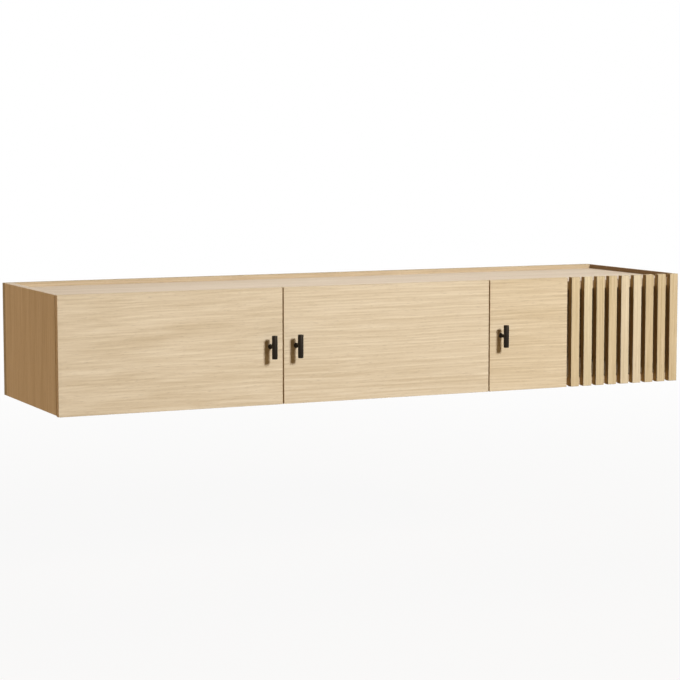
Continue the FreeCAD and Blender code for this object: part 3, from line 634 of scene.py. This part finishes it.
# Moulded plastic has the fine spark texture of its mould; silicone is smooth and cloudy
plastic = finish("black_moulded_plastic", "171717", "232323", (0.8, 0.8, 0.8), 0.45, 0.62, 0.15)
silicone = finish("milky_silicone", "E4E4DE", "D6D6CE", (2, 2, 2), 0.35, 0.45, 0.05)
# Beech is dense and even, with short fine streaks
beech = finish("raw_beech", "D8B58C", "C49C70", (6, 0.8, 0.8), 0.60, 0.75, 0.20)
dowel_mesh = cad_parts["panel_dowels"].data
dowel_mesh.materials.clear()
dowel_mesh.materials.append(beech)
print("the dowels inside the joints keep their built shape, in", beech.name)

# %% [markdown]
# ## Rounded fittings
# Stamped, turned and moulded parts have no truly sharp edges, and a rounded edge is what
# gives a small part its glint. Their shapes are already built in full, so they are not
# modelled again: each is a welded copy of the built part, with every sharp edge bevelled by
# a fraction of a millimetre.

# %% Hinges, grommets and cam bolts
SHARP = radians(35)
SMOOTH = 40  # degrees
HINGE_PARTS = {  # built part: its name here, whether it swings with the door, and its rounding in mm
    "_hinge_cups": ("_stamped_cups", True, 0.2),
    "_hinge_pins": ("_turned_pins", True, 0.2),
    "_hinge_arms": ("_bent_arms", False, 0.3),
    "_hinge_plates": ("_wing_plates", False, 0.3),
}
GROMMET_ROUND, BOLT_ROUND = 0.6 * MM, 0.3 * MM


def rounded(node, name, body, material, ease):
    """A copy of a built part with its sharp edges rounded."""
    shape = welded(node)
    sharp = [edge for edge in shape.edges if edge.is_manifold and edge.calc_face_angle() > SHARP]
    bmesh.ops.bevel(shape, geom=sharp, offset=ease, offset_type="OFFSET", affect="EDGES", segments=2,
                    profile=0.5, material=-1, clamp_overlap=True)
    piece(name, shape, body, [material], SMOOTH, node)


for side in DOORS:
    for part, (name, swings, ease) in HINGE_PARTS.items():
        body = side + "_door" if swings else "cabinet"
        rounded(side + part, side + name, body, nickel, ease * MM)
rounded("cable_grommets", "moulded_grommets", "cabinet", plastic, GROMMET_ROUND)
rounded("cam_bolts", "turned_cam_bolts", "cabinet", zinc, BOLT_ROUND)

# %% [markdown]
# ## Screws, cams and bumpers
# A screw or a cam is known by its head. The rim of each head is rounded, and a cross for the
# screwdriver is sunk into it. A dark cross painted on would look flat from the side, so it is
# cut: planes part the flat top into strips, the strips that make the cross are pressed down,
# and they draw together towards the bottom.

# %% Heads with a cross
FLAT = 0.99  # a face lies flat when its normal has more than this of the head's direction
DRAWN_IN = 0.7  # the cross at its bottom, as a share of its size at the top


def head_faces(shape, out, level=None):
    """The flat faces that lie furthest out in a direction, or at a level along it."""
    flat = {face: face.calc_center_median().dot(out) for face in shape.faces if face.normal.dot(out) > FLAT}
    level = max(flat.values()) if level is None else level
    return [face for face, place in flat.items() if abs(place - level) < TOUCH]


def sink_cross(shape, face, arm, width, depth):
    """Press a cross into a flat face; arm and width are measured from its middle."""
    middle, out = face.calc_center_median(), face.normal.copy()
    along = out.orthogonal().normalized()
    aside = out.cross(along)
    part = [face, *face.edges, *face.verts]
    for axis in (along, aside):
        for reach in (-arm, -width, width, arm):
            part = bmesh.ops.bisect_plane(shape, geom=part, dist=WELD, plane_co=middle + axis * reach,
                                          plane_no=axis)["geom"]
    inside = []
    for strip in part:
        if isinstance(strip, bmesh.types.BMFace):
            place = strip.calc_center_median() - middle
            far, near = sorted((abs(place.dot(along)), abs(place.dot(aside))), reverse=True)
            if far < arm and near < width:
                inside.append(strip)
    pressed = bmesh.ops.extrude_face_region(shape, geom=inside)["geom"]
    floor_verts = [vert for vert in pressed if isinstance(vert, bmesh.types.BMVert)]
    for vert in floor_verts:
        vert.co = middle + (vert.co - middle) * DRAWN_IN - out * depth


def dress_heads(shape, out, ease, cross=None, level=None):
    """Round the rims of the heads that look in a direction, and sink a cross in each if one is given."""
    rims = {edge for face in head_faces(shape, out, level) for edge in face.edges}
    bmesh.ops.bevel(shape, geom=list(rims), offset=ease, offset_type="OFFSET", affect="EDGES", segments=3,
                    profile=0.5, material=-1)
    if cross:
        for face in head_faces(shape, out, level):
            sink_cross(shape, face, *cross)


def fastened(node, name, body, material, heads, ease, cross=None):
    """A copy of a built fastener; heads gives where its heads look, and a level if not the outermost."""
    shape = welded(node)
    for out, level in heads:
        dress_heads(shape, out, ease, cross, level)
    piece(name, shape, body, [material], SMOOTH, node)


print("a cross draws in to", DRAWN_IN, "of its size")

# %% Screws, cams and bumpers
SMALL_CROSS = (2.1 * MM, 0.45 * MM, 1.1 * MM)  # half a cross's length and width, and its depth
LARGE_CROSS = (3.4 * MM, 0.70 * MM, 1.6 * MM)
PAN_ROUND, HANDLE_SCREW_ROUND = 0.9 * MM, 1.2 * MM
DOME_ROUND, CAM_ROUND = 1.4 * MM, 0.5 * MM
INWARD = Vector((0, 1, 0))  # from a door into the cabinet
UPWARD = Vector((0, 0, 1))
FROM_UPRIGHT = {side: Vector((1 if side == "left" else -1, 0, 0)) for side in DOORS}
for side in DOORS:
    fastened(side + "_cup_screws", side + "_cup_pan_screws", side + "_door", zinc,
             [(INWARD, None)], PAN_ROUND, SMALL_CROSS)
    fastened(side + "_handle_screw", side + "_pull_screw", side + "_door", zinc,
             [(INWARD, None)], HANDLE_SCREW_ROUND, SMALL_CROSS)
    fastened(side + "_plate_screws", side + "_plate_pan_screws", "cabinet", zinc,
             [(FROM_UPRIGHT[side], None)], PAN_ROUND, SMALL_CROSS)
    fastened(side + "_door_bumpers", side + "_domed_bumpers", side + "_door", silicone,
             [(INWARD, None)], DOME_ROUND)
bottom_level, top_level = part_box("bottom_panel")[1].z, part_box("top_panel")[0].z
fastened("cam_locks", "cast_cams", "cabinet", zinc,
         [(UPWARD, bottom_level), (-UPWARD, -top_level)], CAM_ROUND, LARGE_CROSS)

# %% [markdown]
# A hinge arm carries two more screws, with which a fitter sets the door straight: the front
# one moves it sideways and the rear one clamps the arm. Only their heads show, so only those
# are made: each is a short cylinder on the arm, dressed like the other heads.

# %% Adjusting screws on the hinge arms
HEAD_RADIUS, HEAD_HEIGHT, HEAD_ROUND = 3.0 * MM, 1.2 * MM, 0.6 * MM
HEAD_SIDES = 32
HEAD_CROSS = (1.6 * MM, 0.4 * MM, 0.8 * MM)
HEADS_BEHIND = (12 * MM, 32 * MM)  # from the front of the mounting plate
ARM_WIDTH = 10 * MM
for side, out in FROM_UPRIGHT.items():
    arm_low, arm_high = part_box(side + "_hinge_arms")
    plate_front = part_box(side + "_hinge_plates")[0].y
    surface = arm_high.x if out.x > 0 else arm_low.x
    level = arm_high.z - ARM_WIDTH / 2
    facing = out.to_track_quat("Z", "Y").to_matrix().to_4x4()
    shape = bmesh.new()
    for up in (-level, level):
        for behind in HEADS_BEHIND:
            place = Vector((surface + out.x * HEAD_HEIGHT / 2, plate_front + behind, up))
            bmesh.ops.create_cone(shape, cap_ends=True, segments=HEAD_SIDES, radius1=HEAD_RADIUS,
                                  radius2=HEAD_RADIUS, depth=HEAD_HEIGHT,
                                  matrix=Matrix.Translation(place) @ facing)
    dress_heads(shape, out, HEAD_ROUND, HEAD_CROSS)
    piece(side + "_arm_screws", shape, "cabinet", [zinc], SMOOTH)
